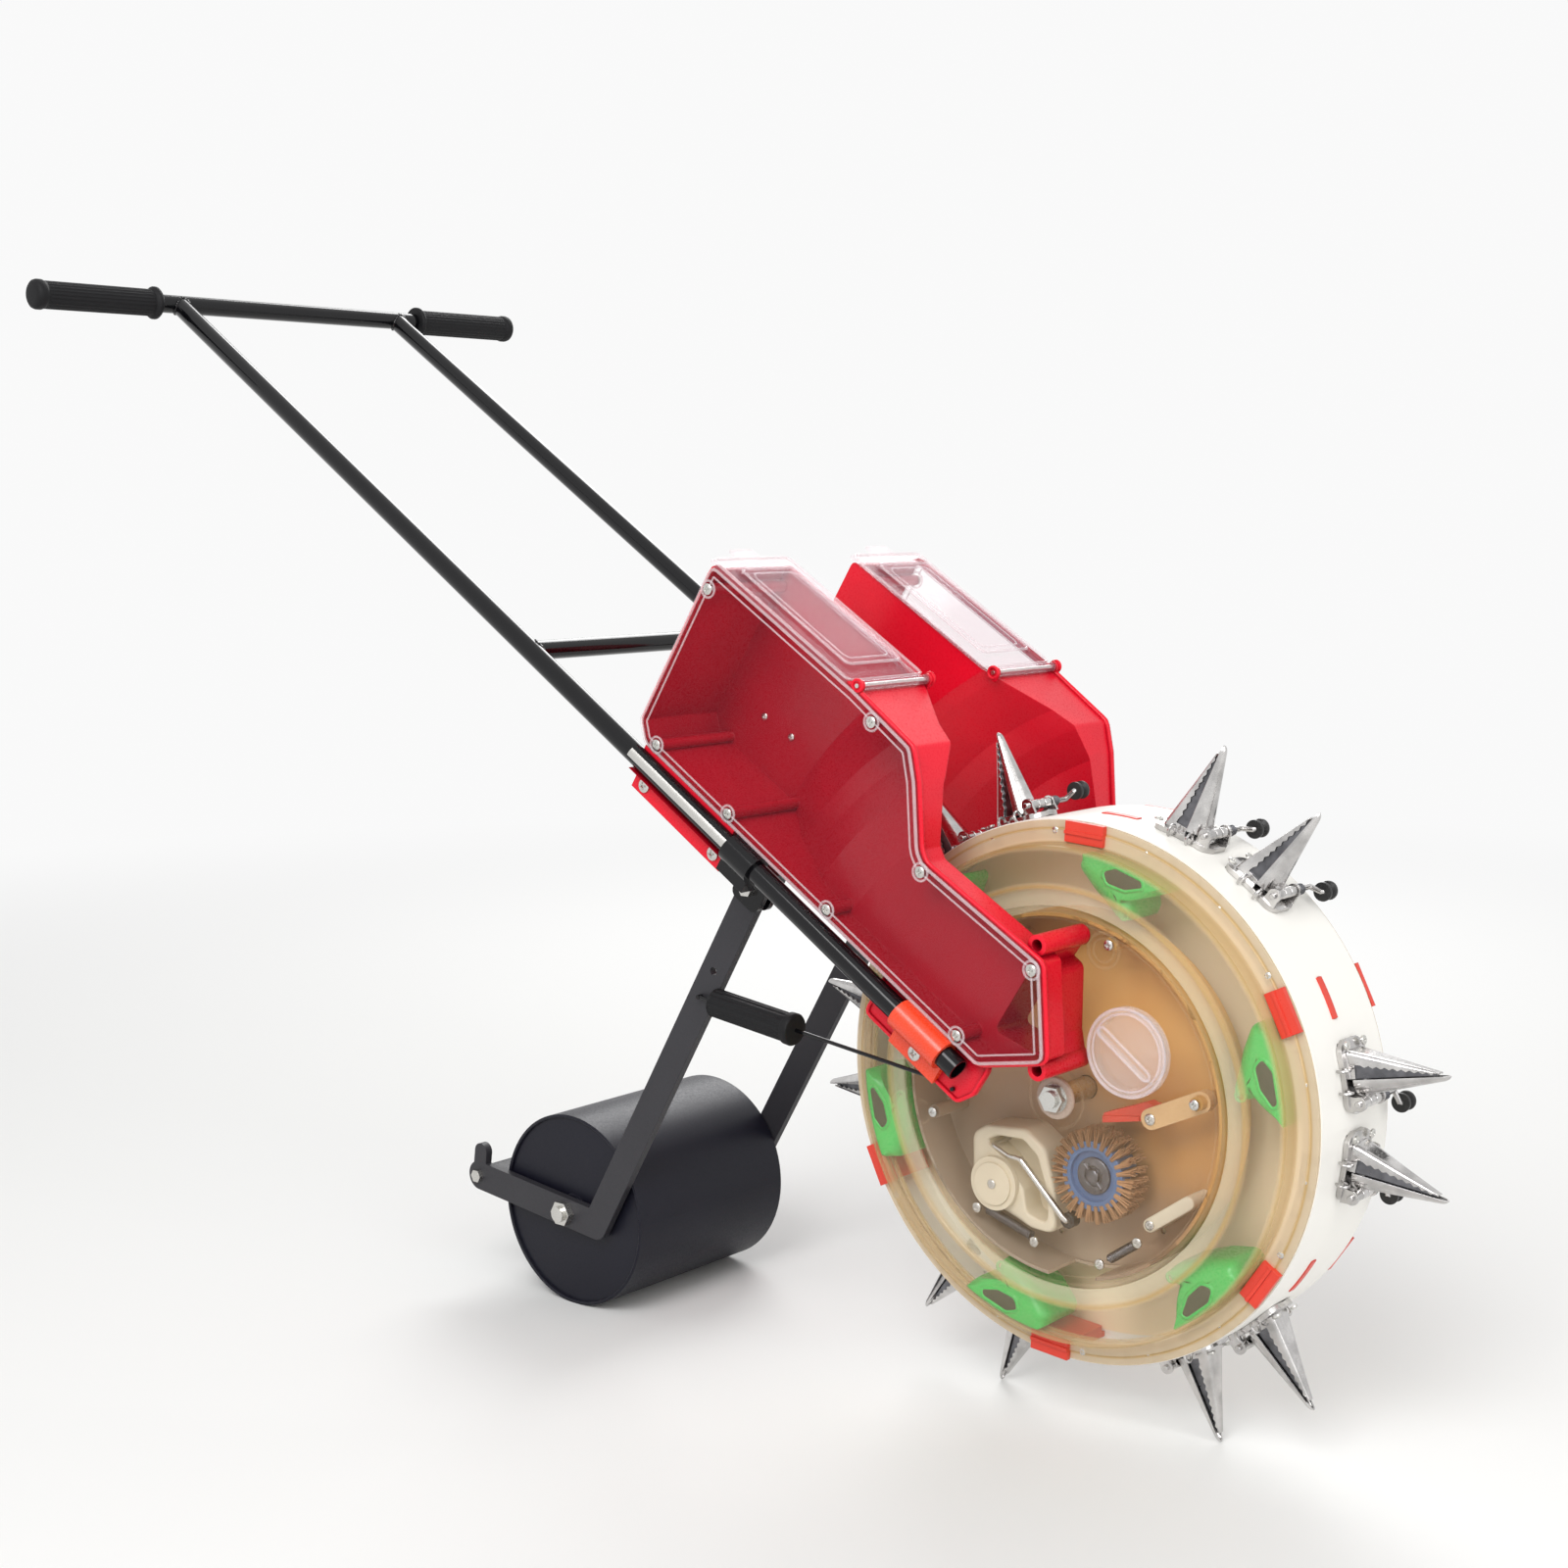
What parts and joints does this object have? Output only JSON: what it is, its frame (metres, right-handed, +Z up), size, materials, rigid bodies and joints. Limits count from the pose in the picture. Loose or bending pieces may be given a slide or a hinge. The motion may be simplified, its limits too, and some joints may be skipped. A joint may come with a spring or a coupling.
{
  "type": "walk-behind seed planter",
  "caption": "Hand pushed seed planter: a wheel with hinged spike openers between clear fronted hoppers, a press roller behind and a long tube handle.",
  "frame": {"origin": "on the ground, at the middle of the planter's length and width", "axes": "+X is forward, the way the planter is pushed; +Y is its left; +Z is up"},
  "size_m": [1.4574, 0.668, 1.058],
  "materials": {
    "black_paint": "satin black paint",
    "grip_rubber": "matt ribbed",
    "red_plastic": "glossy moulded red",
    "orange_plastic": "glossy orange",
    "clear_plastic": "clear, polished",
    "amber_clear": "clear with a cream tint",
    "amber_plastic": "tan, semi-gloss",
    "ivory_plastic": "ivory, semi-gloss",
    "cream_plastic": "cream, semi-gloss",
    "green_plastic": "glossy green",
    "tab_red": "glossy red",
    "blue_plastic": "dull blue",
    "bristle": "brown nylon",
    "knob_black": "black",
    "zinc": "zinc plated",
    "sheet_steel": "bright stamped sheet",
    "spring_steel": "dark spring wire",
    "roller_paint": "blue black enamel",
    "arm_paint": "dark grey paint"
  },
  "bodies": {
    "frame": {"handlebar": "black_paint", "side_tubes": "black_paint", "cross_brace": "black_paint", "grips": "grip_rubber", "near_hopper": "red_plastic", "far_hopper": "red_plastic", "near_cover": "clear_plastic", "far_cover": "clear_plastic", "lid_pins": "zinc", "hopper_screws": "zinc", "tube_saddles": "red_plastic", "tube_clamps": "orange_plastic", "axle": "zinc", "near_disc": "amber_clear", "far_disc": "amber_clear", "far_chamber": "amber_plastic", "seed_chamber": "amber_plastic", "meter_housing": "cream_plastic", "meter_cap": "cream_plastic", "wiper": "tab_red", "wiper_arm": "cream_plastic", "lever_springs": "spring_steel", "chamber_screws": "zinc", "roller_axle": "zinc", "near_arm": "arm_paint", "far_arm": "arm_paint", "arm_brackets": "black_paint", "frame_bolts": "zinc", "scraper": "arm_paint", "stay_wire": "black_paint", "stay_grip": "grip_rubber"},
    "wheel": {"drum": "ivory_plastic", "bearings": "zinc", "near_ring": "amber_clear", "far_ring": "amber_clear", "seed_guides": "green_plastic", "ring_tabs": "tab_red", "rim_screws": "zinc", "fixed_jaws": "sheet_steel", "jaw_springs": "spring_steel"},
    "roller": {"press_roller": "roller_paint"},
    "near_lid": {"near_lid": "clear_plastic"},
    "far_lid": {"far_lid": "clear_plastic"},
    "cap": {"cleanout_cap": "clear_plastic"},
    "brush": {"brush_core": "blue_plastic", "brush_bristles": "bristle"},
    "lever": {"wire_lever": "zinc", "lever_knob": "knob_black"},
    "jaw_01": {"moving_jaw_01": "sheet_steel"},
    "jaw_02": {"moving_jaw_02": "sheet_steel"},
    "jaw_03": {"moving_jaw_03": "sheet_steel"},
    "jaw_04": {"moving_jaw_04": "sheet_steel"},
    "jaw_05": {"moving_jaw_05": "sheet_steel"},
    "jaw_06": {"moving_jaw_06": "sheet_steel"},
    "jaw_07": {"moving_jaw_07": "sheet_steel"},
    "jaw_08": {"moving_jaw_08": "sheet_steel"},
    "jaw_09": {"moving_jaw_09": "sheet_steel"},
    "jaw_10": {"moving_jaw_10": "sheet_steel"},
    "jaw_11": {"moving_jaw_11": "sheet_steel"},
    "jaw_12": {"moving_jaw_12": "sheet_steel"}
  },
  "joints": [
    {"name": "wheel_spin", "type": "hinge", "parent": "frame", "child": "wheel", "pos_m": [0.41136, 0, 0.30024], "axis": [0, 1, 0], "continuous": true},
    {"name": "brush_spin", "type": "hinge", "parent": "frame", "child": "brush", "pos_m": [0.44327, -0.06, 0.23569], "axis": [0, 1, 0], "continuous": true},
    {"name": "roller_spin", "type": "hinge", "parent": "frame", "child": "roller", "pos_m": [-0.16214, 0, 0.098], "axis": [0, 1, 0], "continuous": true},
    {"name": "near_lid_hinge", "type": "hinge", "parent": "frame", "child": "near_lid", "pos_m": [0.25567, -0.0985, 0.64906], "axis": [0, 1, 0], "range_deg": [0, 110]},
    {"name": "far_lid_hinge", "type": "hinge", "parent": "frame", "child": "far_lid", "pos_m": [0.25567, 0.0985, 0.64906], "axis": [0, 1, 0], "range_deg": [0, 110]},
    {"name": "cap_turn", "type": "hinge", "parent": "frame", "child": "cap", "pos_m": [0.48536, -0.08, 0.35074], "axis": [0, 1, 0], "range_deg": [0, 90]},
    {"name": "lever_swing", "type": "hinge", "parent": "frame", "child": "lever", "pos_m": [0.33737, -0.06, 0.24474], "axis": [0, 1, 0], "range_deg": [0, 4], "stiffness_Nm_per_rad": 0.8, "springref_deg": -2.86},
    {"name": "jaw_01_open", "type": "hinge", "parent": "wheel", "child": "jaw_01", "pos_m": [0.65927, 0, 0.32137], "axis": [0, 1, 0], "range_deg": [0, 25], "stiffness_Nm_per_rad": 6, "springref_deg": -14.32},
    {"name": "jaw_02_open", "type": "hinge", "parent": "wheel", "child": "jaw_02", "pos_m": [0.65367, 0, 0.24373], "axis": [0, 1, 0], "range_deg": [0, 25], "stiffness_Nm_per_rad": 6, "springref_deg": -14.32},
    {"name": "jaw_03_open", "type": "hinge", "parent": "wheel", "child": "jaw_03", "pos_m": [0.51702, 0, 0.5255], "axis": [0, 1, 0], "range_deg": [0, 25], "stiffness_Nm_per_rad": 6, "springref_deg": -14.32},
    {"name": "jaw_04_open", "type": "hinge", "parent": "wheel", "child": "jaw_04", "pos_m": [0.58146, 0, 0.48182], "axis": [0, 1, 0], "range_deg": [0, 25], "stiffness_Nm_per_rad": 6, "springref_deg": -14.32},
    {"name": "jaw_05_open", "type": "hinge", "parent": "wheel", "child": "jaw_05", "pos_m": [0.26911, 0, 0.50437], "axis": [0, 1, 0], "range_deg": [0, 25], "stiffness_Nm_per_rad": 6, "springref_deg": -14.32},
    {"name": "jaw_06_open", "type": "hinge", "parent": "wheel", "child": "jaw_06", "pos_m": [0.33916, 0, 0.53834], "axis": [0, 1, 0], "range_deg": [0, 25], "stiffness_Nm_per_rad": 6, "springref_deg": -14.32},
    {"name": "jaw_07_open", "type": "hinge", "parent": "wheel", "child": "jaw_07", "pos_m": [0.16346, 0, 0.27911], "axis": [0, 1, 0], "range_deg": [0, 25], "stiffness_Nm_per_rad": 6, "springref_deg": -14.32},
    {"name": "jaw_08_open", "type": "hinge", "parent": "wheel", "child": "jaw_08", "pos_m": [0.16906, 0, 0.35675], "axis": [0, 1, 0], "range_deg": [0, 25], "stiffness_Nm_per_rad": 6, "springref_deg": -14.32},
    {"name": "jaw_09_open", "type": "hinge", "parent": "wheel", "child": "jaw_09", "pos_m": [0.30571, 0, 0.07498], "axis": [0, 1, 0], "range_deg": [0, 25], "stiffness_Nm_per_rad": 6, "springref_deg": -14.32},
    {"name": "jaw_10_open", "type": "hinge", "parent": "wheel", "child": "jaw_10", "pos_m": [0.24127, 0, 0.11866], "axis": [0, 1, 0], "range_deg": [0, 25], "stiffness_Nm_per_rad": 6, "springref_deg": -14.32},
    {"name": "jaw_11_open", "type": "hinge", "parent": "wheel", "child": "jaw_11", "pos_m": [0.55361, 0, 0.09611], "axis": [0, 1, 0], "range_deg": [0, 25], "stiffness_Nm_per_rad": 6, "springref_deg": -14.32},
    {"name": "jaw_12_open", "type": "hinge", "parent": "wheel", "child": "jaw_12", "pos_m": [0.48357, 0, 0.06214], "axis": [0, 1, 0], "range_deg": [0, 25], "stiffness_Nm_per_rad": 6, "springref_deg": -14.32}
  ],
  "couplings": [
    {"joint": "brush_spin", "follows": "wheel_spin", "ratio": -2}
  ]
}
